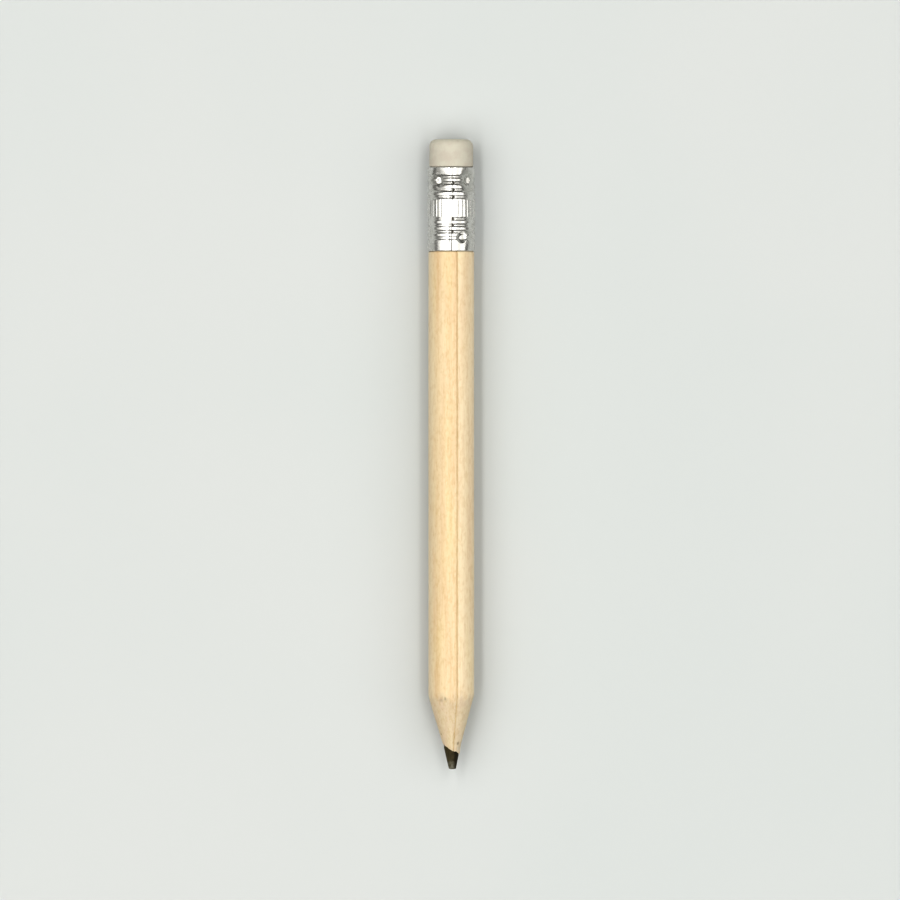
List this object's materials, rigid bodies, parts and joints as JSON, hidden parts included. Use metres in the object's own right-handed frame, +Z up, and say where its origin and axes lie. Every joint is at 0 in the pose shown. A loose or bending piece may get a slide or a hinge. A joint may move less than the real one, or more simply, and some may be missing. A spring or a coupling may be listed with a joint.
{
  "type": "graphite pencil",
  "caption": "Short round wood-cased graphite pencil with a ringed, crimped aluminium ferrule and an off-white plug eraser, sharpened to a worn point.",
  "frame": {"origin": "middle of the pencil's length, straight below its axis, on the surface it lies on", "axes": "+X along the axis towards the writing tip, +Z up, +Y to the left of someone looking along +X"},
  "size_m": [0.0986, 0.0074, 0.0075],
  "materials": {
    "wood": "bare sanded light wood",
    "glue": "dried wood glue",
    "graphite": "burnished graphite and clay",
    "aluminium": "bright rolled sheet",
    "eraser_rubber": "matte off-white"
  },
  "bodies": {
    "root": {"slat_front": "wood", "slat_back": "wood", "glue_film": "glue", "graphite_core": "graphite", "ferrule": "aluminium", "eraser": "eraser_rubber"}
  },
  "joints": []
}
